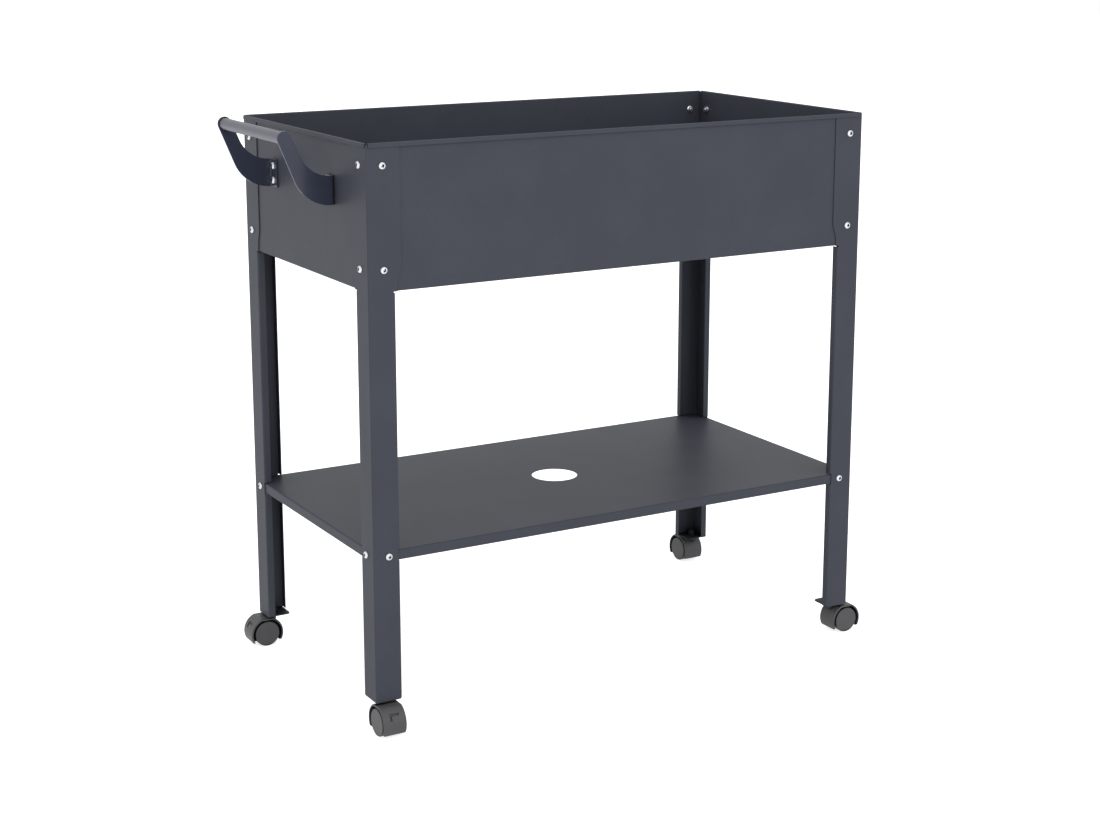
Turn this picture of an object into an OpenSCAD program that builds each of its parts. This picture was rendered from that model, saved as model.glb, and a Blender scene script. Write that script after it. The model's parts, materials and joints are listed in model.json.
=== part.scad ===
// Rolling planter: a folded sheet-steel box on four lipped angle legs, with a lower
// shelf, a push handle on one end and four hooded twin-wheel swivel casters.
// Millimetres. +Z is up, -Y is the front and the handle is on the -X end.
// The origin lies on the floor, under the middle of the whole footprint.

/* [Body] */
// Length over the outer faces of the legs
body_l = 800; // [600:10:1100]
// Width over the outer faces of the legs
body_w = 422; // [340:1:560]
// Height of the rim above the floor
rim_h = 805; // [680:5:950]

/* [Planter walls] */
// Height of each wall, from its folded bottom edge to the rim
wall_h = 195; // [160:1:260]
// Thickness of the wall sheet
wall_t = 1.2; // [0.8:0.1:2]
// Height of the hem that folds out over the top of the legs
hem_h = 6; // [5:0.5:12]
// Slack between the hem and the leg inside it
hem_slack = 0.3; // [0.2:0.1:0.8]
// Distance of a wall's ends from the leg's outer faces, clear of the next wall's hem
wall_end = 3; // [2.8:0.1:5]
// Reach of the inward ledge that carries the floor
ledge_d = 14; // [10:1:24]
// Outside radius of the folded bottom edge
ledge_r = 2.4; // [2.2:0.2:5]
// Gap between two ledges at a mitred corner
mitre_gap = 0.3; // [0.2:0.1:1]

/* [Planter floor] */
// Thickness of the floor sheet
floor_t = 1.2; // [0.8:0.1:2]
// Height of the upturned edge
floor_edge_h = 10; // [6:1:16]
// Outside radius of the upturned edge
floor_edge_r = 2.6; // [2.2:0.2:5]
// Gap between the floor's edge and the walls
floor_gap = 0.6; // [0.3:0.1:2]
// Diameter of a drain hole
drain_d = 8; // [5:0.5:14]
// Spacing of the drain holes along the length
drain_pitch_l = 180; // [80:5:180]
// Spacing of the drain holes across the width
drain_pitch_w = 180; // [60:5:220]

/* [Legs] */
// Thickness of the leg sheet
leg_t = 1.5; // [1:0.1:2.5]
// Width of each side below the planter
leg_w = 39; // [30:1:44]
// Width of each side where it covers the wall
leg_top_w = 48; // [46:1:60]
// Width of each side just above the wall's bottom edge
leg_neck_w = 42; // [38:1:45]
// Height of the curved step between these two widths
leg_step_h = 26; // [16:1:40]
// Height of the straight neck above the wall's bottom edge
leg_neck_h = 9; // [4:1:16]
// Depth of the inward lip along each side
lip_d = 10.5; // [7:0.5:14]
// Outside radius of the leg's corner bend
leg_r = 2; // [2:0.5:6]
// Outside radius of the lip's bend
lip_r = 2.5; // [2.5:0.5:5]
// Height of the relief slot between the lip and the wall
relief_h = 2; // [1:0.5:5]
// Height at which the lip starts above the leg's foot
lip_foot = 1; // [0.5:0.5:4]

/* [Lower shelf] */
// Height of the shelf's top face above the floor
shelf_h = 258; // [180:1:360]
// Thickness of the shelf sheet
shelf_t = 1.2; // [0.8:0.1:2]
// Height of the skirt
skirt_h = 14; // [12:0.5:24]
// Outside radius of the shelf's folded edge
shelf_r = 2.4; // [2.2:0.2:4]
// Diameter of the round hole in the middle
shelf_hole_d = 69; // [30:1:120]
// Clearance above and below the shelf in the legs' lips
shelf_slack = 1; // [0.5:0.5:4]

/* [Push handle] */
// Width over the outer faces of the brackets
handle_w = 218; // [160:2:300]
// Distance from the end wall to the axis of the tube
handle_out = 69.5; // [66:0.5:90]
// Diameter of the tube
tube_d = 16.5; // [12:0.5:20]
// Wall of the tube
tube_t = 1.5; // [1:0.1:2.5]
// Thickness of the bracket plate
bracket_t = 3; // [2:0.5:4]
// Radius of the bracket's round end
bracket_tip_r = 10; // [9.5:0.5:14]
// Depth of the bracket's foot, top and bottom edge, below the rim
foot_top = 52.5; // [46:0.5:60]
// Height of the bracket's foot
foot_h = 39; // [34:0.5:46]
// Radius of the bracket's hollow upper edge
bracket_in_r = 47.5; // [40:0.5:50]
// Radius of the bracket's round lower edge
bracket_out_r = 56; // [50:0.5:62]
// Outside radius of the fold between plate and tab
bracket_fold_r = 5; // [4.5:0.5:7]
// Width of the tab that is screwed to the wall
tab_w = 22; // [20:1:34]
// Spacing of the two screws in a tab
tab_pitch = 20; // [18:1:24]

/* [Fasteners] */
// Diameter of the screws
screw_d = 5; // [4:0.5:6]
// Clearance of the screw holes
screw_slack = 0.4; // [0.2:0.1:1]
// Diameter of the domed screw head
head_d = 10.2; // [8:0.2:12]
// Height of the screw head
head_h = 3.2; // [2.4:0.2:4]
// Width across the flats of the nuts
nut_af = 8; // [7:0.5:9]
// Height of the nuts
nut_h = 4; // [3:0.5:5]
// Diameter of the flange on the nuts inside the planter
nut_flange_d = 11; // [10:0.5:12.5]
// Thickness of that flange
nut_flange_t = 1; // [0.6:0.1:1.6]
// Length of each screw past its nut
screw_past = 1; // [0.5:0.5:4]
// Distance of the screws from the leg's corner
screw_in = 22.5; // [18:0.5:26]
// Distance of the wall screws from the rim and from the wall's bottom edge
wall_screw_in = 29.5; // [20:0.5:36]

/* [Casters] */
// Height from the floor to the bottom of the legs
caster_h = 46; // [46:1:60]
// Diameter of each wheel
wheel_d = 38.5; // [34:0.5:40]
// Width over the hood
caster_w = 34; // [32:1:44]
// Thickness of the web between the two wheels
web_t = 12; // [12:0.5:15]
// Gap between a wheel and the web
wheel_gap = 0.4; // [0.3:0.1:1]
// Inset of a wheel's outer face from the hood's edge
wheel_inset = 0.3; // [0.2:0.1:2.4]
// Outside radius of the hood
hood_r = 25.5; // [25:0.5:26]
// Wall of the hood
hood_t = 2.4; // [2:0.2:3.6]
// Height of the hood's flat crown above the axle
hood_crown = 23.8; // [23:0.2:24.6]
// Rounding of the hood's outer edges
hood_edge_r = 1.4; // [0.6:0.2:1.8]
// Rounding of the hood's lower corners, seen along its trail
hood_corner_r = 3; // [1:0.5:4]
// Angle below the axle at which the hood ends
hood_drop = 30; // [15:1:38]
// Distance from the swivel axis to the axle
trail = 16.5; // [15:0.5:18]
// Distance of the swivel axis from the outer faces of the leg
stem_in = 16; // [14:0.5:18]
// Diameter of the stem
stem_d = 8; // [6:0.5:8]
// Radial running clearance of the stem and of the wheels
run_gap = 0.06; // [0.02:0.01:0.1]
// Diameter of the collar on the stem
collar_d = 14; // [12:0.5:16]
// Diameter of the axle
axle_d = 6; // [4:0.5:7]
// Side of the plate in the leg's foot, from the leg's outer faces
plate_w = 36; // [32:0.5:38]
// Thickness of that plate
plate_t = 2; // [2:0.5:4]
// Width across the flats of the stem's nut
stem_nut_af = 13; // [10:0.5:13]
// Height of the stem's nut
stem_nut_h = 6.5; // [5:0.5:8]

/* [Hidden] */

$fn = 64;
// Overlap that makes cuts run clear of the faces they open
cut = 1;

CORNERS = ["front_left", "front_right", "back_right", "back_left"];
// Side of the body on which each corner lies, along X and along Y
CORNER_SIDE = [[-1, -1], [1, -1], [1, 1], [-1, 1]];
// Turn of each caster as it is parked: the trail goes round by a quarter from leg to leg
CASTER_TURN = [-90, 0, 90, 180];

half_l = body_l / 2;
half_w = body_w / 2;
wheel_r = wheel_d / 2;

// The footprint reaches to the handle's tips at one end and to a caster's hood at the other
handle_reach = half_l - leg_t + handle_out + bracket_tip_r;
caster_reach = half_l - stem_in + trail + hood_r;
middle_x = (handle_reach - caster_reach) / 2;

wall_z = rim_h - wall_h;
hem_in_r = (leg_t + hem_slack) / 2;
hem_out_r = hem_in_r + wall_t;
leg_top_z = rim_h - hem_out_r;
lip_top_z = wall_z - relief_h;
lip_foot_z = caster_h + lip_foot;
wall_rows = [rim_h - wall_screw_in, wall_z + wall_screw_in];
shelf_row = shelf_h - skirt_h / 2;
screw_hole_d = screw_d + screw_slack;
wall_in = leg_t + wall_t;

foot_top_z = rim_h - foot_top;
foot_low_z = foot_top_z - foot_h;
tab_y = (handle_w - tab_w) / 2;
tab_rows = [for (k = [-1, 1]) (foot_top_z + foot_low_z + k * tab_pitch) / 2];

stem_foot_z = 18;
collar_t = 1.5;
stem_top_z = caster_h + plate_t + stem_nut_h + 3;
wheel_in = web_t / 2 + wheel_gap;
wheel_out = caster_w / 2 - wheel_inset;
wheel_cap = 1.8;
wheel_rim_t = 3;
wheel_hub_r = axle_d / 2 + 2.5;

// ---- placing ----

// The body's middle stands beside the origin, because the handle makes one end longer
module on_body() {
  translate([middle_x, 0, 0]) children();
}

// A corner of the body: local +x and +y run inwards along the two sides of the leg
module at_corner(i) {
  side = CORNER_SIDE[i];
  translate([side.x * half_l, side.y * half_w, 0])
    mirror([side.x > 0 ? 1 : 0, 0, 0])
      mirror([0, side.y > 0 ? 1 : 0, 0])
        children();
}

// The swivel axis of a caster on the floor: local +x is the side on which the wheels trail
module at_stem(i) {
  side = CORNER_SIDE[i];
  translate([side.x * (half_l - stem_in), side.y * (half_w - stem_in), 0])
    rotate([0, 0, CASTER_TURN[i]])
      children();
}

// Axle frame in a caster: local Z runs along the axle, out of the inner side
module at_axle() {
  translate([trail, 0, wheel_r]) rotate([-90, 0, 0]) children();
}

// One side of the body: local X runs along the side, local Y inwards from the legs' faces
module at_front() {
  translate([0, -half_w, 0]) children();
}
module at_back() {
  rotate([0, 0, 180]) translate([0, -half_w, 0]) children();
}
module at_handle_end() {
  rotate([0, 0, -90]) translate([0, -half_l, 0]) children();
}
module at_far_end() {
  rotate([0, 0, 90]) translate([0, -half_l, 0]) children();
}

// ---- bent sheet, drawn in section ----

// A quarter of a bend with its centre at c: sx and sy say which quarter it fills
module bend(c, r, t, sx, sy) {
  translate(c) intersection() {
    difference() {
      circle(r);
      circle(r - t);
    }
    translate([sx > 0 ? 0 : -r, sy > 0 ? 0 : -r]) square(r);
  }
}

// Carries a section drawn as (depth, height) along a side of the given length
module along_side(length) {
  translate([-length / 2, 0, 0]) rotate([90, 0, 90]) linear_extrude(length) children();
}

// A round hole through a side at distance s along it and height z
module side_hole(s, z, d, depth) {
  translate([s, -cut, z]) rotate([-90, 0, 0]) cylinder(d = d, h = depth + 2 * cut);
}

// ---- planter walls ----

module wall_section() {
  translate([leg_t, wall_z + ledge_r]) square([wall_t, leg_top_z - wall_z - ledge_r]);
  hem_c = [wall_in - hem_out_r, leg_top_z];
  bend(hem_c, hem_out_r, wall_t, 1, 1);
  bend(hem_c, hem_out_r, wall_t, -1, 1);
  translate([wall_in - 2 * hem_out_r, rim_h - hem_h]) square([wall_t, hem_h - hem_out_r]);
  bend([leg_t + ledge_r, wall_z + ledge_r], ledge_r, wall_t, -1, -1);
  translate([leg_t + ledge_r, wall_z]) square([ledge_d - ledge_r, wall_t]);
}

// A wall stops short of the corner, and its ledge is mitred
module wall(side_l) {
  half = side_l / 2;
  far = leg_t + ledge_d + cut;
  near = wall_in - 2 * hem_out_r - cut;
  mitre = mitre_gap / 2;
  difference() {
    intersection() {
      along_side(side_l - 2 * wall_end) wall_section();
      linear_extrude(rim_h + cut) polygon([
        [-half + near + mitre, near], [half - near - mitre, near],
        [half - far - mitre, far], [-half + far + mitre, far]
      ]);
    }
    for (k = [-1, 1], z = wall_rows)
      side_hole(k * (half - screw_in), z, screw_hole_d, wall_in);
  }
}

module front_wall() {
  color("#4d4f59") on_body() at_front() wall(body_l);
}

module back_wall() {
  color("#4d4f59") on_body() at_back() wall(body_l);
}

module handle_end_wall() {
  color("#5d5d63") on_body() at_handle_end() difference() {
    wall(body_w);
    for (k = [-1, 1], z = tab_rows)
      side_hole(k * tab_y, z, screw_hole_d, wall_in);
  }
}

module far_end_wall() {
  color("#5d5d63") on_body() at_far_end() wall(body_w);
}

// ---- planter floor: a shallow tray that rests on the four ledges ----

module floor_section(depth) {
  base_z = wall_z + wall_t;
  out = wall_in + floor_gap;
  translate([out, base_z + floor_edge_r]) square([floor_t, floor_edge_h - floor_edge_r]);
  bend([out + floor_edge_r, base_z + floor_edge_r], floor_edge_r, floor_t, -1, -1);
  translate([out + floor_edge_r, base_z]) square([depth, floor_t]);
}

module planter_floor() {
  out = wall_in + floor_gap;
  corner = 2 * floor_edge_r;
  base_z = wall_z + wall_t;
  color("#3c3e42") on_body() difference() {
    union() {
      for (k = [0, 180]) {
        rotate([0, 0, k]) translate([0, -half_w, 0])
          along_side(body_l - 2 * (out + corner)) floor_section(corner);
        rotate([0, 0, k + 90]) translate([0, -half_l, 0])
          along_side(body_w - 2 * (out + corner)) floor_section(corner);
      }
      translate([-half_l + out + corner, -half_w + out + corner, base_z])
        cube([body_l - 2 * (out + corner), body_w - 2 * (out + corner), floor_t]);
    }
    for (i = [-1.5, -0.5, 0.5, 1.5], k = [-0.5, 0.5])
      translate([i * drain_pitch_l, k * drain_pitch_w, base_z - cut])
        cylinder(d = drain_d, h = floor_t + 2 * cut);
  }
}

// ---- legs ----

// Half of a smooth step: 0 at the bottom and 1 at the top
function ease(t) = (1 - cos(180 * t)) / 2;

// One side of the leg laid flat: (distance from the corner, height)
module leg_side_outline() {
  flat_w = leg_w - lip_r;
  step_low = wall_z + leg_neck_h;
  steps = 10;
  polygon(concat(
    [[leg_r, caster_h], [flat_w, caster_h], [flat_w, wall_z], [leg_neck_w, wall_z]],
    [for (k = [0:steps]) [
      leg_neck_w + (leg_top_w - leg_neck_w) * ease(k / steps),
      step_low + leg_step_h * k / steps
    ]],
    [[leg_top_w, leg_top_z], [leg_r, leg_top_z]]
  ));
}

module leg_side() {
  difference() {
    translate([0, leg_t, 0]) rotate([90, 0, 0]) linear_extrude(leg_t) leg_side_outline();
    for (z = concat(wall_rows, [shelf_row])) side_hole(screw_in, z, screw_hole_d, leg_t);
  }
}

// The lip stands off the side's edge; it is left out where the shelf passes through
module leg_lip() {
  spans = [
    [lip_foot_z, shelf_h - skirt_h - shelf_slack],
    [shelf_h + shelf_slack, lip_top_z]
  ];
  for (span = spans)
    translate([0, 0, span[0]]) linear_extrude(span[1] - span[0]) {
      bend([leg_w - lip_r, lip_r], lip_r, leg_t, 1, -1);
      translate([leg_w - leg_t, lip_r]) square([leg_t, lip_d - lip_r]);
    }
}

module leg(i) {
  color("#4f515a") on_body() at_corner(i) {
    for (k = [0, 1]) mirror([k, -k, 0]) {
      leg_side();
      leg_lip();
    }
    translate([0, 0, caster_h]) linear_extrude(leg_top_z - caster_h)
      bend([leg_r, leg_r], leg_r, leg_t, -1, -1);
  }
}

// ---- lower shelf: a tray turned upside down, its skirts against the legs ----

module shelf_section(depth) {
  translate([leg_t, shelf_h - skirt_h]) square([shelf_t, skirt_h - shelf_r]);
  bend([leg_t + shelf_r, shelf_h - shelf_r], shelf_r, shelf_t, -1, 1);
  translate([leg_t + shelf_r, shelf_h - shelf_t]) square([depth, shelf_t]);
}

module lower_shelf() {
  corner = leg_t + 2 * shelf_r;
  color("#5c5e62") on_body() difference() {
    union() {
      for (k = [0, 180]) {
        rotate([0, 0, k]) translate([0, -half_w, 0])
          along_side(body_l - 2 * corner) shelf_section(corner);
        rotate([0, 0, k + 90]) translate([0, -half_l, 0])
          along_side(body_w - 2 * corner) shelf_section(corner);
      }
      translate([-half_l + corner, -half_w + corner, shelf_h - shelf_t])
        cube([body_l - 2 * corner, body_w - 2 * corner, shelf_t]);
    }
    translate([0, 0, shelf_h - shelf_t - cut])
      cylinder(d = shelf_hole_d, h = shelf_t + 2 * cut, $fn = 128);
    for (k = [0, 180], s = [-1, 1]) {
      rotate([0, 0, k]) translate([0, -half_w, 0])
        side_hole(s * (half_l - screw_in), shelf_row, screw_hole_d, leg_t + shelf_t);
      rotate([0, 0, k + 90]) translate([0, -half_l, 0])
        side_hole(s * (half_w - screw_in), shelf_row, screw_hole_d, leg_t + shelf_t);
    }
  }
}

// ---- push handle ----

function arc(c, r, from, to, n) =
  [for (k = [0:n]) let (a = from + (to - from) * k / n) c + r * [cos(a), sin(a)]];

// Angle at which a straight edge leaves an arc about c to graze the tip's circle
function graze(c, tip, reach) =
  acos(reach / norm(tip - c)) - atan2(tip.y - c.y, tip.x - c.x);

// The bracket's curved plate in side view: (distance from the wall, height)
module bracket_outline() {
  tip = [handle_out, rim_h];
  in_c = [bracket_fold_r, foot_top_z + bracket_in_r];
  out_c = [bracket_fold_r, foot_low_z + bracket_out_r];
  in_a = graze(in_c, tip, bracket_in_r + bracket_tip_r);
  out_a = graze(out_c, tip, bracket_out_r - bracket_tip_r);
  polygon(concat(
    arc(out_c, bracket_out_r, -90, -out_a, 14),
    arc(tip, bracket_tip_r, -out_a, 180 - in_a, 18),
    arc(in_c, bracket_in_r, -in_a, -90, 14)
  ));
}

// Local X runs along the end wall, local -Y away from it; this is the bracket at +X
module bracket() {
  edge = handle_w / 2;
  face = leg_t;
  translate([edge - bracket_t, face, 0]) rotate([90, 0, -90]) mirror([0, 0, 1])
    linear_extrude(bracket_t) bracket_outline();
  translate([0, 0, foot_low_z]) linear_extrude(foot_h)
    bend([edge - bracket_fold_r, face - bracket_fold_r], bracket_fold_r, bracket_t, 1, 1);
  difference() {
    translate([edge - tab_w, face - bracket_t, foot_low_z])
      cube([tab_w - bracket_fold_r, bracket_t, foot_h]);
    for (z = tab_rows)
      translate([tab_y, face - bracket_t - cut, z]) rotate([-90, 0, 0])
        cylinder(d = screw_hole_d, h = bracket_t + 2 * cut);
  }
}

module handle_bracket_front() {
  color("#333846") on_body() at_handle_end() bracket();
}

module handle_bracket_back() {
  color("#333846") on_body() at_handle_end() mirror([1, 0, 0]) bracket();
}

module handle_tube() {
  color("#7b7b86") on_body() at_handle_end()
    translate([0, leg_t - handle_out, rim_h]) rotate([0, 90, 0]) difference() {
      cylinder(d = tube_d, h = handle_w - 2 * bracket_t, center = true);
      cylinder(d = tube_d - 2 * tube_t, h = handle_w, center = true);
    }
}

// ---- screws and nuts ----

// Screw with its head's seat at the origin, pointing along +Y
module screw(grip) {
  dome_r = (pow(head_d / 2, 2) + pow(head_h, 2)) / (2 * head_h);
  recess_d = head_h * 0.6;
  recess_l = head_d * 0.46;
  rotate([-90, 0, 0]) difference() {
    union() {
      cylinder(d = screw_d, h = grip);
      intersection() {
        translate([0, 0, dome_r - head_h]) sphere(dome_r);
        translate([0, 0, -head_h]) cylinder(d = head_d, h = head_h);
      }
    }
    for (k = [0, 90]) rotate([0, 0, k])
      translate([-recess_l / 2, -recess_l / 8, -head_h - cut])
        cube([recess_l, recess_l / 4, recess_d + cut]);
  }
}

// Nut with its seat at the origin, standing along +Y; a plain one has a flange_d of 0
module nut(flange_d) {
  rotate([-90, 0, 0]) difference() {
    union() {
      cylinder(d = nut_af / cos(30), h = nut_h, $fn = 6);
      if (flange_d > nut_af) cylinder(d = flange_d, h = nut_flange_t);
    }
    translate([0, 0, -cut]) cylinder(d = screw_d + 2 * run_gap, h = nut_h + 2 * cut);
  }
}

// Puts a fastener at both screws of a row on both sides of every leg
module at_leg_rows(rows) {
  for (i = [0:3], k = [0, 1], z = rows)
    at_corner(i) mirror([k, -k, 0]) translate([screw_in, 0, z]) children();
}

module wall_screws() {
  color("#d8dadd") on_body() at_leg_rows(wall_rows) screw(wall_in + nut_h + screw_past);
}

module wall_nuts() {
  color("#c4c7ca") on_body() at_leg_rows(wall_rows)
    translate([0, wall_in, 0]) nut(nut_flange_d);
}

module shelf_screws() {
  color("#d8dadd") on_body() at_leg_rows([shelf_row]) screw(leg_t + shelf_t + nut_h + screw_past);
}

module shelf_nuts() {
  color("#c4c7ca") on_body() at_leg_rows([shelf_row])
    translate([0, leg_t + shelf_t, 0]) nut(0);
}

module at_tabs() {
  for (k = [-1, 1], z = tab_rows) translate([k * tab_y, 0, z]) children();
}

module handle_screws() {
  color("#d8dadd") on_body() at_handle_end() at_tabs()
    translate([0, leg_t - bracket_t, 0]) screw(bracket_t + wall_t + nut_h + screw_past);
}

module handle_nuts() {
  color("#c4c7ca") on_body() at_handle_end() at_tabs()
    translate([0, wall_in, 0]) nut(nut_flange_d);
}

// ---- casters ----

// Square plate in the foot of a leg: rounded at the leg's bend and at its free corner
module caster_plate(i) {
  bend_r = leg_r - leg_t;
  tip_r = 5;
  color("#484a50") on_body() at_corner(i) translate([0, 0, caster_h])
    linear_extrude(plate_t) difference() {
      union() {
        translate([leg_t, leg_t + bend_r]) square([bend_r, plate_w - leg_t - bend_r]);
        translate([leg_t + bend_r, leg_t])
          square([plate_w - leg_t - bend_r - tip_r, plate_w - leg_t]);
        translate([plate_w - tip_r, leg_t]) square([tip_r, plate_w - leg_t - tip_r]);
        translate([leg_t + bend_r, leg_t + bend_r]) circle(bend_r);
        translate([plate_w - tip_r, plate_w - tip_r]) circle(tip_r);
      }
      translate([stem_in, stem_in]) circle(d = stem_d + screw_slack);
    }
}

module caster_stem(i) {
  chamfer = 1;
  color("#2a2b2e") on_body() at_stem(i) {
    translate([0, 0, stem_foot_z])
      cylinder(d = stem_d, h = stem_top_z - stem_foot_z - chamfer);
    translate([0, 0, stem_top_z - chamfer])
      cylinder(d1 = stem_d, d2 = stem_d - 2 * chamfer, h = chamfer);
    translate([0, 0, caster_h - collar_t]) cylinder(d = collar_d, h = collar_t);
  }
}

module caster_nut(i) {
  flange_t = 1.5;
  color("#2a2b2e") on_body() at_stem(i) translate([0, 0, caster_h + plate_t])
    difference() {
      union() {
        cylinder(d = stem_nut_af / cos(30), h = stem_nut_h, $fn = 6);
        cylinder(d = stem_nut_af / cos(30) + 2, h = flange_t);
      }
      translate([0, 0, -cut]) cylinder(d = stem_d + 2 * run_gap, h = stem_nut_h + 2 * cut);
    }
}

// Outer form of the hood: a drum with rounded edges
module hood_drum() {
  rotate_extrude() {
    square([hood_r - hood_edge_r, caster_w / 2]);
    translate([0, -caster_w / 2]) square([hood_r - hood_edge_r, caster_w / 2]);
    translate([0, hood_edge_r - caster_w / 2])
      square([hood_r, caster_w - 2 * hood_edge_r]);
    for (k = [-1, 1])
      translate([hood_r - hood_edge_r, k * (caster_w / 2 - hood_edge_r)])
        circle(hood_edge_r);
  }
}

// View of the hood along its trail: flat on top, with rounded corners at the foot
module hood_view() {
  half = caster_w / 2;
  low = wheel_r - hood_r * sin(hood_drop);
  top = wheel_r + hood_crown;
  low_in = low + hood_corner_r;
  top_in = top - hood_edge_r;
  translate([-half, low_in]) square([caster_w, top_in - low_in]);
  translate([hood_corner_r - half, low]) square([caster_w - 2 * hood_corner_r, hood_corner_r]);
  translate([hood_edge_r - half, top_in]) square([caster_w - 2 * hood_edge_r, hood_edge_r]);
  for (k = [-1, 1]) {
    translate([k * (half - hood_corner_r), low_in]) circle(hood_corner_r);
    translate([k * (half - hood_edge_r), top_in]) circle(hood_edge_r);
  }
}

// Room for a wheel at each end of the hood, under its crown
module hood_pockets() {
  pocket_l = (caster_w - web_t) / 2;
  intersection() {
    at_axle() for (k = [0, 1]) mirror([0, 0, k])
      translate([0, 0, web_t / 2]) cylinder(r = hood_r - hood_t, h = pocket_l + cut);
    translate([trail - hood_r, -caster_w, -hood_r])
      cube([2 * hood_r, 2 * caster_w, wheel_r + hood_crown - hood_t + hood_r]);
  }
}

// The hood and the web are one moulding: a drum opened for the wheels from both ends,
// dished round the stem and with an L-shaped groove on the side on which it trails
module caster_hood(i) {
  funnel_z = 36;
  funnel_r = 12.5;
  mark = [14, 9.5];
  mark_w = 3;
  mark_depth = 1.6;
  mark_turn = 60;
  color("#515153") on_body() at_stem(i) difference() {
    intersection() {
      at_axle() hood_drum();
      translate([trail, 0, 0]) along_side(2 * hood_r + 2 * cut) hood_view();
    }
    hood_pockets();
    at_axle() translate([0, 0, -caster_w])
      cylinder(r = axle_d / 2 + run_gap, h = 2 * caster_w);
    translate([0, 0, stem_foot_z - 0.3]) cylinder(r = stem_d / 2 + run_gap, h = caster_h);
    translate([0, 0, funnel_z])
      cylinder(r1 = 0, r2 = funnel_r, h = caster_h - funnel_z);
    translate([trail, 0, wheel_r]) rotate([0, mark_turn, 0])
      translate([-mark.y / 2, -mark.x / 2, hood_r - mark_depth]) {
        cube([mark_w, mark.x, mark_depth + cut]);
        cube([mark.y, mark_w, mark_depth + cut]);
      }
  }
}

module caster_axle(i) {
  half = wheel_out - wheel_cap - 0.3;
  color("#b9bcc0") on_body() at_stem(i) at_axle()
    translate([0, 0, -half]) cylinder(d = axle_d, h = 2 * half);
}

// Wheel about the axle: tread and hub, hollow from the web's side, closed outside
module wheel() {
  edge_r = 1.6;
  w = wheel_out - wheel_in;
  difference() {
    rotate_extrude() {
      square([wheel_r - edge_r, w]);
      translate([0, edge_r]) square([wheel_r, w - 2 * edge_r]);
      for (y = [edge_r, w - edge_r]) translate([wheel_r - edge_r, y]) circle(edge_r);
    }
    translate([0, 0, -cut])
      cylinder(r = axle_d / 2 + run_gap, h = w - wheel_cap + cut);
    translate([0, 0, -cut]) difference() {
      cylinder(r = wheel_r - wheel_rim_t, h = w - wheel_cap - 0.6 + cut);
      cylinder(r = wheel_hub_r, h = w + 2 * cut);
    }
  }
}

module inner_wheel(i) {
  color("#6b6b6c") on_body() at_stem(i) at_axle() translate([0, 0, wheel_in]) wheel();
}

module outer_wheel(i) {
  color("#6b6b6c") on_body() at_stem(i) at_axle()
    rotate([180, 0, 0]) translate([0, 0, wheel_in]) wheel();
}

// ---- the whole planter ----

front_wall();
back_wall();
handle_end_wall();
far_end_wall();
planter_floor();
lower_shelf();
handle_bracket_front();
handle_bracket_back();
handle_tube();
wall_screws();
wall_nuts();
shelf_screws();
shelf_nuts();
handle_screws();
handle_nuts();
for (i = [0:3]) {
  leg(i);
  caster_plate(i);
  caster_stem(i);
  caster_nut(i);
  caster_hood(i);
  caster_axle(i);
  outer_wheel(i);
  inner_wheel(i);
}
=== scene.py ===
"""Rolling planter: the finish of a coated sheet-steel planter on four twin-wheel casters."""

import json
import math

import bmesh
import bpy
from mathutils import Matrix, Vector


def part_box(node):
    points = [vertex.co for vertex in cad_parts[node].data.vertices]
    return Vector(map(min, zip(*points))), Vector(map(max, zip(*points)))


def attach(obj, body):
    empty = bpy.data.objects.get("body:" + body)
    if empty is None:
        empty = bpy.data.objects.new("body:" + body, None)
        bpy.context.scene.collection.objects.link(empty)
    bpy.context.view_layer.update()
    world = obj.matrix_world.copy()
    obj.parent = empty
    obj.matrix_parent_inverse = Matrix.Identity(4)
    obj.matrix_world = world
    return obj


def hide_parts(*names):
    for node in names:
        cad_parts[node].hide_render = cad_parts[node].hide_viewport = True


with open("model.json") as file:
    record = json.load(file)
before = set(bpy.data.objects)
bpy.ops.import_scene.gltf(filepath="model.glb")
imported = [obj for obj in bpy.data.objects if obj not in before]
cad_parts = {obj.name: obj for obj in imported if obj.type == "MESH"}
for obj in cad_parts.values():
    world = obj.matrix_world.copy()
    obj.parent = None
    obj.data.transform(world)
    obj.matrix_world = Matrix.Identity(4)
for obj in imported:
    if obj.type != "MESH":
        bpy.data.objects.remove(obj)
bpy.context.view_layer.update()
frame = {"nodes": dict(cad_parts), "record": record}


# ---- The camera ----
# It stands off the corner between the front and the handle's end, a little above the rim,
# and looks down on the planter with a longish lens.

camera_at = (-1.4259, -2.5098, 1.0953)
camera_turn = math.radians(29.915)
camera_tilt = math.radians(12.363)
sensor_width = 36.0
photo_width_px = 1100
focal_px = 1983.9
# the photograph is cut from a taller one, so its optical axis meets it this far below its top
axis_px = 344.65
photo_height_px = 824

camera_data = bpy.data.cameras.new("photo_camera")
camera_data.sensor_width = sensor_width
camera_data.lens = sensor_width * focal_px / photo_width_px
camera_data.shift_y = (axis_px - photo_height_px / 2) / photo_width_px
camera_data.clip_end = 60.0
camera = bpy.data.objects.new("photo_camera", camera_data)
camera.location = camera_at
camera.rotation_euler = (math.pi / 2 - camera_tilt, 0.0, -camera_turn)
bpy.context.scene.collection.objects.link(camera)
bpy.context.scene.camera = camera
bpy.context.scene.view_settings.view_transform = "Standard"


# ---- The studio ----
# A white sweep under a white tent. The tent lights the planter evenly from all round, and three
# weak, broad lamps only lend it a direction.


def hex_colour(code):
    """Linear values, with an alpha, of an sRGB colour written as #rrggbb."""
    parts = [int(code[i:i + 2], 16) / 255 for i in (1, 3, 5)]
    return [c / 12.92 if c <= 0.04045 else ((c + 0.055) / 1.055) ** 2.4 for c in parts] + [1.0]


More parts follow.
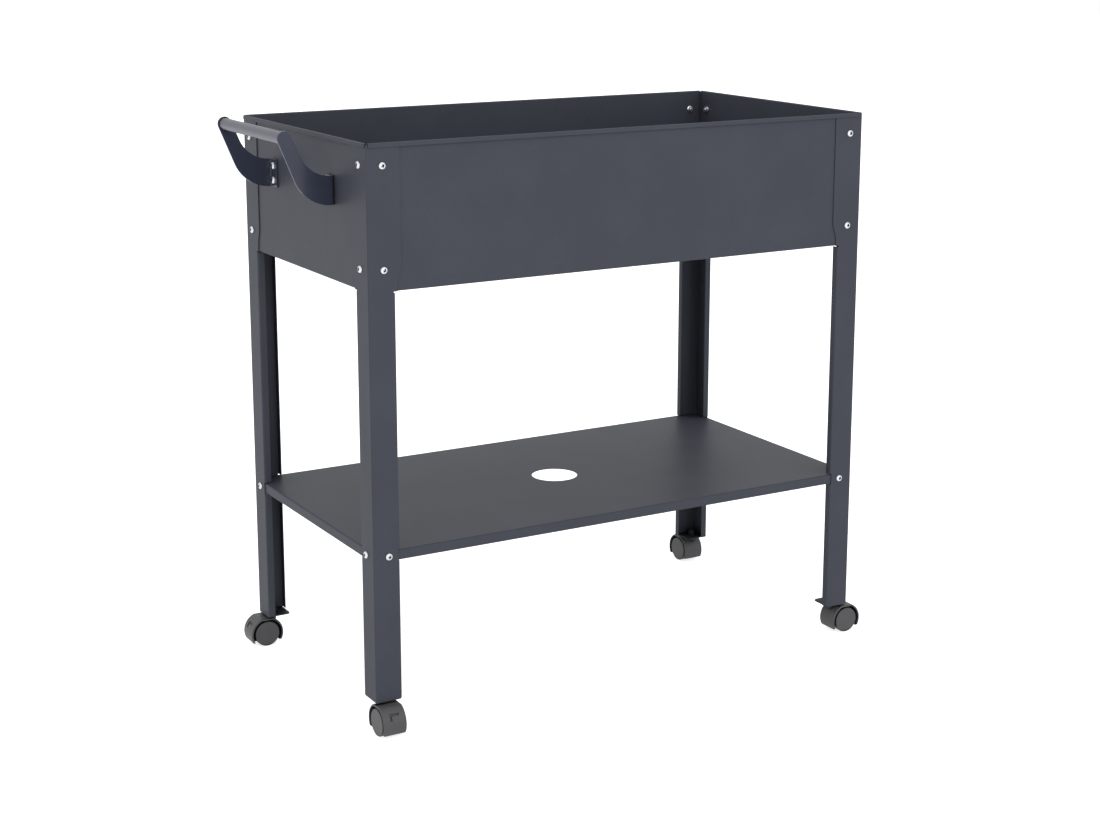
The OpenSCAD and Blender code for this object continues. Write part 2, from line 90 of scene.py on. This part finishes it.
def add_node(tree, kind, inputs=None, **settings):
    """Adds a node. An input is given another node's output to link, or a plain value."""
    node = tree.nodes.new(kind)
    for name, value in settings.items():
        setattr(node, name, value)
    for key, value in (inputs or {}).items():
        if isinstance(value, bpy.types.NodeSocket):
            tree.links.new(value, node.inputs[key])
        else:
            node.inputs[key].default_value = value
    return node


def add_seen_factor(tree):
    """1 for a ray from the camera, off a glossy surface or through a clear one, else 0."""
    path = add_node(tree, "ShaderNodeLightPath")
    mirrored = add_node(tree, "ShaderNodeMath", {
        0: path.outputs["Is Glossy Ray"], 1: path.outputs["Is Transmission Ray"],
    }, operation="MAXIMUM")
    seen = add_node(tree, "ShaderNodeMath", {
        0: path.outputs["Is Camera Ray"], 1: mirrored.outputs[0],
    }, operation="MAXIMUM")
    return seen.outputs[0]


world = bpy.data.worlds.new("white_studio")
world.use_nodes = True
world.node_tree.nodes.clear()
room_light = add_node(world.node_tree, "ShaderNodeBackground", {
    "Color": hex_colour("#ffffff"), "Strength": 0.85,
})
white_sweep = add_node(world.node_tree, "ShaderNodeBackground", {
    "Color": hex_colour("#ffffff"), "Strength": 1.0,
})
world_mix = add_node(world.node_tree, "ShaderNodeMixShader", {
    0: add_seen_factor(world.node_tree), 1: room_light.outputs[0], 2: white_sweep.outputs[0],
})
add_node(world.node_tree, "ShaderNodeOutputWorld", {"Surface": world_mix.outputs[0]})
bpy.context.scene.world = world

floor_material = bpy.data.materials.new("white_sweep_paper")
floor_material.use_nodes = True
floor_tree = floor_material.node_tree
floor_tree.nodes.clear()
floor_paper = add_node(floor_tree, "ShaderNodeBsdfDiffuse", {"Color": hex_colour("#f4f4f4")})
# the paper is lit to nearly white by itself: a mirrored ray needs a little more, and the camera's
# own rays get enough to keep the sweep white in the planter's shadow
floor_path = add_node(floor_tree, "ShaderNodeLightPath")
floor_strength = add_node(floor_tree, "ShaderNodeMath", {
    0: floor_path.outputs["Is Camera Ray"], 1: 0.3, 2: 0.45,
}, operation="MULTIPLY_ADD")
floor_glow = add_node(floor_tree, "ShaderNodeEmission", {
    "Color": hex_colour("#ffffff"), "Strength": floor_strength.outputs[0],
})
floor_seen = add_node(floor_tree, "ShaderNodeMixShader", {
    0: add_seen_factor(floor_tree), 2: floor_glow.outputs[0],
})
floor_sum = add_node(floor_tree, "ShaderNodeAddShader", {
    0: floor_paper.outputs[0], 1: floor_seen.outputs[0],
})
add_node(floor_tree, "ShaderNodeOutputMaterial", {"Surface": floor_sum.outputs[0]})

floor_half = 14.0
floor_mesh = bpy.data.meshes.new("studio_floor")
floor_mesh.from_pydata(
    [(-floor_half, -floor_half, 0), (floor_half, -floor_half, 0),
     (floor_half, floor_half, 0), (-floor_half, floor_half, 0)], [], [(0, 1, 2, 3)])
floor_mesh.materials.append(floor_material)
floor = bpy.data.objects.new("studio_floor", floor_mesh)
bpy.context.scene.collection.objects.link(floor)

# name, place, side of the square lamp, power in watts
aim = Vector((0.0, 0.0, 0.45))
for name, place, side, power in [
    ("key_lamp", (-0.3, -4.0, 2.0), 2.8, 34.0),
    ("left_lamp", (-4.2, 0.4, 1.3), 2.8, 4.0),
    ("top_lamp", (0.3, 0.5, 4.2), 2.8, 6.0),
]:
    lamp_data = bpy.data.lights.new(name, "AREA")
    lamp_data.size = side
    lamp_data.energy = power
    lamp = bpy.data.objects.new(name, lamp_data)
    lamp.location = place
    lamp.rotation_euler = (aim - Vector(place)).to_track_quat("-Z", "Y").to_euler()
    bpy.context.scene.collection.objects.link(lamp)


# ---- The planter walls ----
# Four walls of 1.2 mm cold-rolled steel sheet, cut, folded and powder coated. The top of each
# is hemmed over the legs, and the bottom is folded in to carry the floor.

MM = 0.001
bodies = frame["record"]["behaviour"]["bodies"]
body_of = {node: body for body, nodes in bodies.items() for node in nodes}


def new_material(name):
    """An empty material, its tree, and its Object coordinates."""
    material = bpy.data.materials.new(name)
    material.use_nodes = True
    material.node_tree.nodes.clear()
    coords = add_node(material.node_tree, "ShaderNodeTexCoord")
    return material, material.node_tree, coords.outputs["Object"]


def add_painted_occlusion_shade(tree, reach, shut, clear, least):
    """A factor for painted shade: 1 on an open surface, down to least where what lies within
    reach shuts it in. Shut and clear are the shares of open sky between which it rises."""
    sky = add_node(tree, "ShaderNodeAmbientOcclusion", {
        "Color": hex_colour("#ffffff"), "Distance": reach,
    }, samples=8)
    factor = add_node(tree, "ShaderNodeMapRange", {
        "Value": sky.outputs["AO"], "From Min": shut, "From Max": clear,
        "To Min": least, "To Max": 1.0,
    })
    return factor.outputs[0]


def powder_coat(name, colour, thin_colour, roughness, ior):
    """Polyester powder, sprayed and baked: a fine orange peel under a soft sheen, and a film
    that lies a little thinner and greyer in wide, faint clouds; deep corners get painted shade."""
    cloud_size = 90 * MM
    # powder grains melt to specks of about 0.5 mm; they are drawn larger so that they show
    speck_size = 1.2 * MM
    # orange peel: shallow dimples
    dimple_size, dimple_depth = 2.5 * MM, 0.03 * MM
    # painted shade: the colour is darkened where surfaces within this reach shut in inside corners
    # and channels
    painted_shade_reach = 120 * MM
    material, tree, place = new_material(name)
    cloud = add_node(tree, "ShaderNodeTexNoise", {
        "Vector": place, "Scale": 1 / cloud_size, "Detail": 3.0, "Roughness": 0.55,
    })
    speck = add_node(tree, "ShaderNodeTexNoise", {
        "Vector": place, "Scale": 1 / speck_size, "Detail": 2.0, "Roughness": 0.6,
    })
    tone = add_node(tree, "ShaderNodeMath", {
        0: cloud.outputs["Fac"], 1: speck.outputs["Fac"],
    }, operation="MULTIPLY")
    film = add_node(tree, "ShaderNodeMapRange", {
        "Value": tone.outputs[0], "From Min": 0.12, "From Max": 0.42, "To Min": 0.0, "To Max": 1.0,
    })
    tint = add_node(tree, "ShaderNodeMix", {
        0: film.outputs[0], 6: hex_colour(colour), 7: hex_colour(thin_colour),
    }, data_type="RGBA")
    # painted shade: inside corners and channels, where shade falls, are coloured darker
    painted_corner_shade = add_painted_occlusion_shade(tree, painted_shade_reach, shut=0.3, clear=0.8, least=0.7)
    corner_shaded_tint = add_node(tree, "ShaderNodeVectorMath", {
        0: tint.outputs[2], "Scale": painted_corner_shade,
    }, operation="SCALE")
    gloss = add_node(tree, "ShaderNodeMapRange", {
        "Value": speck.outputs["Fac"], "From Min": 0.3, "From Max": 0.7,
        "To Min": roughness - 0.04, "To Max": roughness + 0.05,
    })
    peel = add_node(tree, "ShaderNodeTexNoise", {
        "Vector": place, "Scale": 1 / dimple_size, "Detail": 1.0, "Roughness": 0.4,
    })
    dimples = add_node(tree, "ShaderNodeBump", {
        "Height": peel.outputs["Fac"], "Strength": 0.35, "Distance": dimple_depth,
    })
    coat = add_node(tree, "ShaderNodeBsdfPrincipled", {
        "Base Color": corner_shaded_tint.outputs[0], "Roughness": gloss.outputs[0],
        "Normal": dimples.outputs[0], "IOR": ior,
    })
    add_node(tree, "ShaderNodeOutputMaterial", {"Surface": coat.outputs[0]})
    return material


weld_within = 0.002 * MM
flat_within = math.radians(0.3)
sharp_from = math.radians(35)


def eased_copy(node, radius):
    """A CAD node's mesh, merged, with its sharp edges eased as deburred and coated edges are."""
    mesh = frame["nodes"][node].data.copy()
    mesh.name = node + "_finish"
    shape = bmesh.new()
    shape.from_mesh(mesh)
    bmesh.ops.remove_doubles(shape, verts=shape.verts, dist=weld_within)
    bmesh.ops.dissolve_limit(
        shape, angle_limit=flat_within, verts=shape.verts, edges=shape.edges)
    for face in shape.faces:
        face.smooth = True
    shape.to_mesh(mesh)
    shape.free()
    piece = bpy.data.objects.new(node + "_finish", mesh)
    bpy.context.scene.collection.objects.link(piece)
    ease = piece.modifiers.new("ease", "BEVEL")
    ease.width = radius
    ease.segments = 2
    ease.limit_method = "ANGLE"
    ease.angle_limit = sharp_from
    ease.use_clamp_overlap = False
    even = piece.modifiers.new("even", "WEIGHTED_NORMAL")
    even.keep_sharp = True
    even.weight = 100
    make_plain(piece)
    return piece


def make_plain(piece):
    """Turns what the modifiers of a piece show into its plain mesh."""
    graph = bpy.context.evaluated_depsgraph_get()
    mesh = bpy.data.meshes.new_from_object(
        piece.evaluated_get(graph), preserve_all_data_layers=True, depsgraph=graph)
    piece.modifiers.clear()
    piece.data = mesh
    mesh.name = piece.name


def finish(piece, material, slot, *nodes):
    """Gives a piece its material, and lets it stand for its CAD nodes."""
    piece.data.materials.clear()
    piece.data.materials.append(material)
    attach(piece, body_of[nodes[0]])
    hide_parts(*nodes)


anthracite = powder_coat("satin_anthracite_powder_coat", "#43464f", "#484c55", 0.45, 1.22)

for node in ["front_wall", "back_wall", "handle_end_wall", "far_end_wall"]:
    finish(eased_copy(node, 0.25 * MM), anthracite, "anthracite_paint", node)


# ---- The planter floor ----
# A shallow tray of the same coated sheet, dropped on the ledges of the walls, with its drain
# holes punched before it was folded.

finish(eased_copy("planter_floor", 0.25 * MM), anthracite, "anthracite_paint", "planter_floor")


# ---- The legs ----
# Angles of 1.5 mm sheet, roll folded with a lip along each edge, powder coated, and screwed
# over the corners of the walls. A plate closes the foot of each and takes the caster's stem.

corners = ["front_left", "front_right", "back_right", "back_left"]
# the plates are coloured darker than the legs: painted shade for the shadow inside each leg's foot
plate_shade_coat = powder_coat("dark_anthracite_powder_coat", "#2b2c30", "#303136", 0.45, 1.22)
for corner in corners:
    finish(eased_copy("leg_" + corner, 0.3 * MM), anthracite, "anthracite_paint", "leg_" + corner)
    plate = "caster_plate_" + corner
    finish(eased_copy(plate, 0.4 * MM), plate_shade_coat, "anthracite_paint", plate)


# ---- The lower shelf ----
# One sheet with a skirt folded down all round and a round hole punched in its middle, powder
# coated, and hung between the legs on two screws in each.

finish(eased_copy("lower_shelf", 0.3 * MM), anthracite, "anthracite_paint", "lower_shelf")


# ---- The push handle ----
# Two brackets of 3 mm plate, laser cut, folded at the foot and coated in a glossier blue-black,
# with a steel tube welded between them and linished along its length.

blue_black = powder_coat("glossy_blue_black_powder_coat", "#363b4b", "#3c4151", 0.16, 1.4)
for node in ["handle_bracket_front", "handle_bracket_back"]:
    finish(eased_copy(node, 0.4 * MM), blue_black, "bracket_paint", node)

linished, tree, place = new_material("linished_steel_tube")
# the belt leaves fine scratches along the tube, apart round it and long by this much
scratch_apart, scratch_long = 0.6 * MM, 60 * MM
stretch = add_node(tree, "ShaderNodeMapping", {
    "Vector": place, "Scale": (1 / scratch_apart, 1 / scratch_long, 1 / scratch_apart),
})
scratches = add_node(tree, "ShaderNodeTexNoise", {
    "Vector": stretch.outputs[0], "Scale": 1.0, "Detail": 3.0, "Roughness": 0.6,
})
sheen = add_node(tree, "ShaderNodeMapRange", {
    "Value": scratches.outputs["Fac"], "From Min": 0.3, "From Max": 0.7,
    "To Min": 0.34, "To Max": 0.48,
})
scratch_tone = add_node(tree, "ShaderNodeMix", {
    0: scratches.outputs["Fac"], 6: hex_colour("#65656e"), 7: hex_colour("#74747e"),
}, data_type="RGBA")
grooves = add_node(tree, "ShaderNodeBump", {
    "Height": scratches.outputs["Fac"], "Strength": 0.3, "Distance": 0.02 * MM,
})
steel = add_node(tree, "ShaderNodeBsdfPrincipled", {
    "Base Color": scratch_tone.outputs[2], "Metallic": 1.0,
    "Roughness": sheen.outputs[0], "Normal": grooves.outputs[0],
})
add_node(tree, "ShaderNodeOutputMaterial", {"Surface": steel.outputs[0]})
finish(eased_copy("handle_tube", 0.2 * MM), linished, "steel_tube", "handle_tube")


# ---- The screws and nuts ----
# M5 machine screws with domed, cross-recessed heads, cold headed from wire, and hexagon nuts,
# flanged where there is room. All are zinc plated, and turned as the driver left them.

zinc, tree, place = new_material("bright_zinc_plate")
recess_shade_mark = add_node(tree, "ShaderNodeAttribute", attribute_name="recess")
bloom = add_node(tree, "ShaderNodeTexNoise", {
    "Vector": place, "Scale": 1 / (3 * MM), "Detail": 3.0, "Roughness": 0.6,
})
zinc_tone = add_node(tree, "ShaderNodeMix", {
    0: bloom.outputs["Fac"], 6: hex_colour("#d3d6da"), 7: hex_colour("#e9eaec"),
}, data_type="RGBA")
# painted shade: the flanks of a driver's recess are coloured near black to stand for the shade
# inside it
zinc_with_recess_shade = add_node(tree, "ShaderNodeMix", {
    0: recess_shade_mark.outputs["Fac"], 6: zinc_tone.outputs[2], 7: hex_colour("#2e3034"),
}, data_type="RGBA")
zinc_sheen = add_node(tree, "ShaderNodeMapRange", {
    "Value": bloom.outputs["Fac"], "From Min": 0.3, "From Max": 0.7, "To Min": 0.22, "To Max": 0.38,
})
plating = add_node(tree, "ShaderNodeBsdfPrincipled", {
    "Base Color": zinc_with_recess_shade.outputs[2], "Metallic": 1.0, "Roughness": zinc_sheen.outputs[0],
})
add_node(tree, "ShaderNodeOutputMaterial", {"Surface": plating.outputs[0]})


def turned(name, profile, sides=40):
    """A closed turned form about Z from a profile of (radius, height) in millimetres."""
    shape = bmesh.new()
    rings = []
    for radius, height in profile:
        if radius == 0:
            rings.append([shape.verts.new((0, 0, height * MM))])
            continue
        rings.append([
            shape.verts.new((
                radius * MM * math.cos(2 * math.pi * k / sides),
                radius * MM * math.sin(2 * math.pi * k / sides),
                height * MM))
            for k in range(sides)])
    for low, high in zip(rings, rings[1:]):
        for k in range(sides):
            patch = [low[k % len(low)], low[(k + 1) % len(low)],
                     high[(k + 1) % len(high)], high[k % len(high)]]
            distinct = list(dict.fromkeys(patch))
            if len(distinct) > 2:
                shape.faces.new(distinct)
    bmesh.ops.recalc_face_normals(shape, faces=shape.faces)
    mesh = bpy.data.meshes.new(name)
    shape.to_mesh(mesh)
    shape.free()
    return bpy.data.objects.new(name, mesh)


# the fastener's sizes are in millimetres, and a profile is a row of (radius, height)
thread_pitch = 0.8
thread_depth = 0.35
# where the root lies and the crest begins and ends, as shares of the pitch
thread_root, crest_start, crest_end = 0.1, 0.45, 0.6


def thread(radius, low, high):
    """Profile of a screw thread from one height to another, as rings at its pitch."""
    points = []
    for k in range(int((high - low) / thread_pitch)):
        base = low + k * thread_pitch
        points += [(radius - thread_depth, base + thread_pitch * thread_root),
                   (radius, base + thread_pitch * crest_start),
                   (radius, base + thread_pitch * crest_end)]
    return points


screw_radius = 2.45
thread_from = 1.0
point_chamfer = 0.7
head_radius = 5.1
head_height = 3.2
head_profile = [(0, -head_height), (1.6, -head_height + 0.02), (2.9, -head_height + 0.2),
                (4.0, -head_height + 0.68), (4.72, -head_height + 1.35), (head_radius, -1.05),
                (head_radius, -0.25), (head_radius - 0.2, 0)]

# the cross: its arms' reach and half width at the head's top, its depth, how much narrower it is
# at its bottom, and how far over the head the cutter starts
recess_arm = 2.9
recess_half = 1.15
recess_depth = 2.4
recess_taper = 0.3
cutter_over = 0.5
# the recess's own faces start this far below the head's top, and its flanks are the faces
# whose normals have less than this share along the screw's axis
recess_from = 0.3
flank_normal = 0.9
crease_screw = math.radians(32)


def make_screw(name, length):
    """A domed screw, its seat at the origin and its shank along +Z, with a cross recess."""
    shank = [(screw_radius, 0)] + thread(screw_radius, thread_from, length - thread_pitch)
    shank += [(screw_radius, length - point_chamfer),
              (screw_radius - point_chamfer, length), (0, length)]
    screw = turned(name, head_profile + shank)
    outline = []
    for k in range(4):
        turn = Matrix.Rotation(math.pi / 2 * k, 2)
        for x, y in [(recess_half, -recess_half), (recess_arm, -recess_half),
                     (recess_arm, recess_half)]:
            outline.append(turn @ Vector((x, y)))
    low, deep = -head_height - cutter_over, -head_height + recess_depth
    verts = [(x * MM, y * MM, low * MM) for x, y in outline]
    verts += [(x * recess_taper * MM, y * recess_taper * MM, deep * MM) for x, y in outline]
    count = len(outline)
    faces = [tuple(range(count)), tuple(range(2 * count - 1, count - 1, -1))]
    faces += [(k, k + count, (k + 1) % count + count, (k + 1) % count) for k in range(count)]
    cutter_mesh = bpy.data.meshes.new("cross_cutter")
    cutter_mesh.from_pydata(verts, [], faces)
    shape = bmesh.new()
    shape.from_mesh(cutter_mesh)
    bmesh.ops.recalc_face_normals(shape, faces=shape.faces)
    shape.to_mesh(cutter_mesh)
    shape.free()
    cutter = bpy.data.objects.new("cross_cutter", cutter_mesh)
    for part in (screw, cutter):
        bpy.context.scene.collection.objects.link(part)
    cut = screw.modifiers.new("recess", "BOOLEAN")
    cut.object = cutter
    cut.solver = "EXACT"
    make_plain(screw)
    bpy.data.objects.remove(cutter)
    bpy.context.scene.collection.objects.unlink(screw)
    screw.data.shade_smooth()
    screw.data.set_sharp_from_angle(angle=crease_screw)
    recess = screw.data.attributes.new("recess", "FLOAT", "FACE")
    # the recess's flanks are marked for painted shade, and its flat bottom is left bright
    for face, mark in zip(screw.data.polygons, recess.data):
        x, y, z = face.center / MM
        flank = abs(face.normal.z) < flank_normal and recess_from - head_height < z < 0
        mark.value = float(flank and math.hypot(x, y) < recess_arm)
    return screw


nut_height = 4.0
nut_flats = 8.0
# a hair past the true corner, so that every flat is cut to its full width
nut_corner = nut_flats / math.sqrt(3) + 0.02
nut_bore = 2.3
nut_crown = 0.55
nut_top_in = 0.1
bore_chamfer = 0.35
crease_nut = math.radians(28)


def make_nut(name, foot, hexagon_from):
    """A hexagon nut on a turned foot, its seat at the origin, standing along +Z."""
    nut = turned(name, [(nut_bore, 0)] + foot + [
        (nut_corner, hexagon_from), (nut_corner, nut_height - nut_crown),
        (nut_flats / 2 - nut_top_in, nut_height), (nut_bore + bore_chamfer, nut_height),
        (nut_bore, nut_height - bore_chamfer), (nut_bore, 0)], sides=48)
    outside, above_foot = nut_bore * MM * 1.2, (hexagon_from - 0.1) * MM
    shape = bmesh.new()
    shape.from_mesh(nut.data)
    for vert in shape.verts:
        reach = math.hypot(vert.co.x, vert.co.y)
        if vert.co.z > above_foot and reach > outside:
            angle = math.atan2(vert.co.y, vert.co.x)
            side = (angle + math.pi / 6) % (math.pi / 3) - math.pi / 6
            flat = nut_flats / 2 * MM / math.cos(side)
            if reach > flat:
                vert.co.x *= flat / reach
                vert.co.y *= flat / reach
    bmesh.ops.remove_doubles(shape, verts=shape.verts, dist=weld_within)
    bmesh.ops.recalc_face_normals(shape, faces=shape.faces)
    shape.to_mesh(nut.data)
    shape.free()
    nut.data.shade_smooth()
    nut.data.set_sharp_from_angle(angle=crease_nut)
    return nut


# The tree sets one fastener on every seat, along the seat's own direction, and turns each one
# about its axis by chance.
seat_tree = bpy.data.node_groups.new("fastener_on_each_seat", "GeometryNodeTree")
seat_in = {}
for name, kind in [("Seats", "NodeSocketGeometry"), ("Fastener", "NodeSocketObject"),
                   ("Turn seed", "NodeSocketInt"), ("Finish", "NodeSocketMaterial")]:
    seat_in[name] = seat_tree.interface.new_socket(name, in_out="INPUT", socket_type=kind)
seat_tree.interface.new_socket("Fasteners", in_out="OUTPUT", socket_type="NodeSocketGeometry")
given = add_node(seat_tree, "NodeGroupInput")
fastener = add_node(seat_tree, "GeometryNodeObjectInfo", {"Object": given.outputs["Fastener"]})
inward = add_node(seat_tree, "GeometryNodeInputNamedAttribute", {"Name": "inward"},
                  data_type="FLOAT_VECTOR")
aligned = add_node(seat_tree, "FunctionNodeAlignRotationToVector", {
    "Vector": inward.outputs["Attribute"]}, axis="Z")
chance = add_node(seat_tree, "FunctionNodeRandomValue", {
    2: 0.0, 3: 2 * math.pi, "Seed": given.outputs["Turn seed"]}, data_type="FLOAT")
about_axis = add_node(seat_tree, "FunctionNodeAxisAngleToRotation", {
    "Axis": (0, 0, 1), "Angle": chance.outputs[1]})
turn_node = add_node(seat_tree, "FunctionNodeRotateRotation", {
    0: aligned.outputs[0], 1: about_axis.outputs[0]}, rotation_space="LOCAL")
placed = add_node(seat_tree, "GeometryNodeInstanceOnPoints", {
    "Points": given.outputs["Seats"], "Instance": fastener.outputs["Geometry"],
    "Rotation": turn_node.outputs[0]})
real = add_node(seat_tree, "GeometryNodeRealizeInstances", {0: placed.outputs[0]})
plated = add_node(seat_tree, "GeometryNodeSetMaterial", {
    "Geometry": real.outputs[0], "Material": given.outputs["Finish"]})
add_node(seat_tree, "NodeGroupOutput", {0: plated.outputs[0]})


def set_on_seats(name, node, fastener_object, seats, seed):
    """Sets a fastener on each (place, direction) seat as one piece that replaces a CAD node."""
    mesh = bpy.data.meshes.new(name)
    mesh.from_pydata([place for place, _ in seats], [], [])
    direction = mesh.attributes.new("inward", "FLOAT_VECTOR", "POINT")
    direction.data.foreach_set("vector", [c for _, way in seats for c in way])
    piece = bpy.data.objects.new(name, mesh)
    bpy.context.scene.collection.objects.link(piece)
    setter = piece.modifiers.new("seats", "NODES")
    setter.node_group = seat_tree
    setter[seat_in["Fastener"].identifier] = fastener_object
    setter[seat_in["Turn seed"].identifier] = seed
    setter[seat_in["Finish"].identifier] = zinc
    make_plain(piece)
    finish(piece, zinc, "zinc", node)


leg_low, leg_high = {}, {}
for corner in corners:
    leg_low[corner], leg_high[corner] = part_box("leg_" + corner)
# a screw's distance from the leg's outer corner, and from the wall's rim or foot
screw_in = 22.5 * MM
row_in = 29.5 * MM
sheet = 1.5 * MM
wall_sheet = 1.2 * MM
plate_sheet = 3 * MM
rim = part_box("front_wall")[1].z
wall_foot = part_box("front_wall")[0].z
wall_rows = [rim - row_in, wall_foot + row_in]
shelf_low, shelf_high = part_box("lower_shelf")
shelf_row = (shelf_low.z + shelf_high.z) / 2


def leg_seats(rows, depth):
    """Seats on both sides of every leg: on the leg's face, or so deep behind it."""
    seats = []
    for corner in corners:
        x_way = 1 if "left" in corner else -1
        y_way = 1 if "front" in corner else -1
        x = leg_low[corner].x if x_way > 0 else leg_high[corner].x
        y = leg_low[corner].y if y_way > 0 else leg_high[corner].y
        for z in rows:
            seats.append(((x + x_way * screw_in, y + y_way * depth, z), (0, y_way, 0)))
            seats.append(((x + x_way * depth, y + y_way * screw_in, z), (x_way, 0, 0)))
    return seats


wall_depth = sheet + wall_sheet
# a screw's end stands out of its nut by this many millimetres
screw_past_nut = 1
long_screw = make_screw("wall_screw", wall_depth / MM + nut_height + screw_past_nut)
flange_nut = make_nut("flange_nut", [(5.3, 0), (5.5, 0.25), (5.5, 0.54), (4.4, 1.2)], 1.2)
plain_nut = make_nut("plain_nut", [(3.9, 0)], 0.55)
set_on_seats("wall_screws_finish", "wall_screws", long_screw, leg_seats(wall_rows, 0), 3)
set_on_seats("wall_nuts_finish", "wall_nuts", flange_nut,
             leg_seats(wall_rows, wall_depth), 5)
set_on_seats("shelf_screws_finish", "shelf_screws", long_screw, leg_seats([shelf_row], 0), 7)
set_on_seats("shelf_nuts_finish", "shelf_nuts", plain_nut,
             leg_seats([shelf_row], wall_depth), 9)

bracket_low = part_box("handle_bracket_front")[0]
# half the width of a bracket's tab, half the height of its foot, half the pitch of its screws
tab_half = 11 * MM
foot_half = 19.5 * MM
tab_row = 10 * MM
tab_y = bracket_low.y + tab_half
tab_mid = bracket_low.z + foot_half
tab_x = leg_low["front_left"].x + sheet
tab_depth = plate_sheet + wall_sheet
tab_screw = make_screw("handle_screw", tab_depth / MM + nut_height + screw_past_nut)
tab_seats, tab_backs = [], []
for y in (tab_y, -tab_y):
    for z in (tab_mid - tab_row, tab_mid + tab_row):
        tab_seats.append(((tab_x - plate_sheet, y, z), (1, 0, 0)))
        tab_backs.append(((tab_x + wall_sheet, y, z), (1, 0, 0)))
set_on_seats("handle_screws_finish", "handle_screws", tab_screw, tab_seats, 11)
set_on_seats("handle_nuts_finish", "handle_nuts", flange_nut, tab_backs, 13)


# ---- The caster stems, their nuts and the axles ----
# A stem turned from bar, with a collar under the leg's plate and a nut over it, both black zinc
# plated: near black, with a soft metal glint. The axles are left bright under the wheels' caps.

black_zinc, tree, place = new_material("black_zinc_plate")
smut = add_node(tree, "ShaderNodeTexNoise", {
    "Vector": place, "Scale": 1 / (4 * MM), "Detail": 3.0, "Roughness": 0.6,
})
black_tone = add_node(tree, "ShaderNodeMix", {
    0: smut.outputs["Fac"], 6: hex_colour("#15161a"), 7: hex_colour("#26282c"),
}, data_type="RGBA")
black_sheen = add_node(tree, "ShaderNodeMapRange", {
    "Value": smut.outputs["Fac"], "From Min": 0.3, "From Max": 0.7, "To Min": 0.2, "To Max": 0.3,
})
black_plating = add_node(tree, "ShaderNodeBsdfPrincipled", {
    "Base Color": black_tone.outputs[2], "Metallic": 0.3, "Roughness": black_sheen.outputs[0],
    "IOR": 1.3,
})
add_node(tree, "ShaderNodeOutputMaterial", {"Surface": black_plating.outputs[0]})

bright, tree, place = new_material("bright_turned_steel")
tool_marks = add_node(tree, "ShaderNodeTexWave", {
    "Vector": place, "Scale": 1 / (3 * MM), "Distortion": 1.0, "Detail": 1.0,
}, bands_direction="Z")
bright_sheen = add_node(tree, "ShaderNodeMapRange", {
    "Value": tool_marks.outputs["Fac"], "To Min": 0.24, "To Max": 0.36,
})
bar = add_node(tree, "ShaderNodeBsdfPrincipled", {
    "Base Color": hex_colour("#b4b6ba"), "Metallic": 1.0, "Roughness": bright_sheen.outputs[0],
})
add_node(tree, "ShaderNodeOutputMaterial", {"Surface": bar.outputs[0]})

for corner in corners:
    for node in ["caster_stem_" + corner, "caster_nut_" + corner]:
        finish(eased_copy(node, 0.3 * MM), black_zinc, "black_zinc", node)
    axle = "caster_axle_" + corner
    finish(eased_copy(axle, 0.15 * MM), bright, "bright_steel", axle)


# ---- The caster hoods ----
# One nylon moulding each: a hood over both wheels and a web between them. The tool is spark
# eroded, which gives the plastic a fine, dull grain.


def moulded(name, colour, pale_colour, roughness, ior):
    """Injection-moulded nylon off a spark-eroded tool: dull, with a grain and faint flow marks."""
    flow_size = 14 * MM
    # spark pits are about 0.1 mm wide; they are drawn larger so that they show
    pit_size, pit_depth = 0.5 * MM, 0.02 * MM
    # painted shade: colour and shine are darkened in the narrow gap between hood and wheels, and in
    # the groove on the hood
    gap_shade_reach = 6 * MM
    material, tree, place = new_material(name)
    flow = add_node(tree, "ShaderNodeTexNoise", {
        "Vector": place, "Scale": 1 / flow_size, "Detail": 2.0, "Distortion": 0.6,
    })
    tint = add_node(tree, "ShaderNodeMix", {
        0: flow.outputs["Fac"], 6: hex_colour(colour), 7: hex_colour(pale_colour),
    }, data_type="RGBA")
    grain = add_node(tree, "ShaderNodeTexNoise", {
        "Vector": place, "Scale": 1 / pit_size, "Detail": 2.0, "Roughness": 0.6,
    })
    pits = add_node(tree, "ShaderNodeBump", {
        "Height": grain.outputs["Fac"], "Strength": 0.4, "Distance": pit_depth,
    })
    dull = add_node(tree, "ShaderNodeMapRange", {
        "Value": grain.outputs["Fac"], "From Min": 0.3, "From Max": 0.7,
        "To Min": roughness - 0.05, "To Max": roughness + 0.05,
    })
    painted_gap_shade = add_painted_occlusion_shade(tree, gap_shade_reach, shut=0.35, clear=0.9, least=0.1)
    gap_shaded_tint = add_node(tree, "ShaderNodeVectorMath", {
        0: tint.outputs[2], "Scale": painted_gap_shade,
    }, operation="SCALE")
    # 0.5 is an open surface's shine; the painted shade lowers it in the gaps
    gap_shaded_shine = add_node(tree, "ShaderNodeMath", {
        0: painted_gap_shade, 1: 0.5,
    }, operation="MULTIPLY")
    nylon = add_node(tree, "ShaderNodeBsdfPrincipled", {
        "Base Color": gap_shaded_tint.outputs[0], "Roughness": dull.outputs[0],
        "Normal": pits.outputs[0], "IOR": ior, "Specular IOR Level": gap_shaded_shine.outputs[0],
    })
    add_node(tree, "ShaderNodeOutputMaterial", {"Surface": nylon.outputs[0]})
    return material


hood_nylon = moulded("spark_grained_dark_nylon", "#4e4e50", "#545456", 0.42, 1.4)
for corner in corners:
    hood = "caster_hood_" + corner
    finish(eased_copy(hood, 0.3 * MM), hood_nylon, "hood_plastic", hood)


# ---- The wheels ----
# Solid wheels moulded in a lighter grey nylon, with a rounded tread and a plain closed face
# that covers the axle's end.

wheel_nylon = moulded("smooth_grey_nylon", "#505052", "#565658", 0.36, 1.35)
for corner in corners:
    for side in ("outer_wheel_", "inner_wheel_"):
        node = side + corner
        finish(eased_copy(node, 0.3 * MM), wheel_nylon, "wheel_plastic", node)
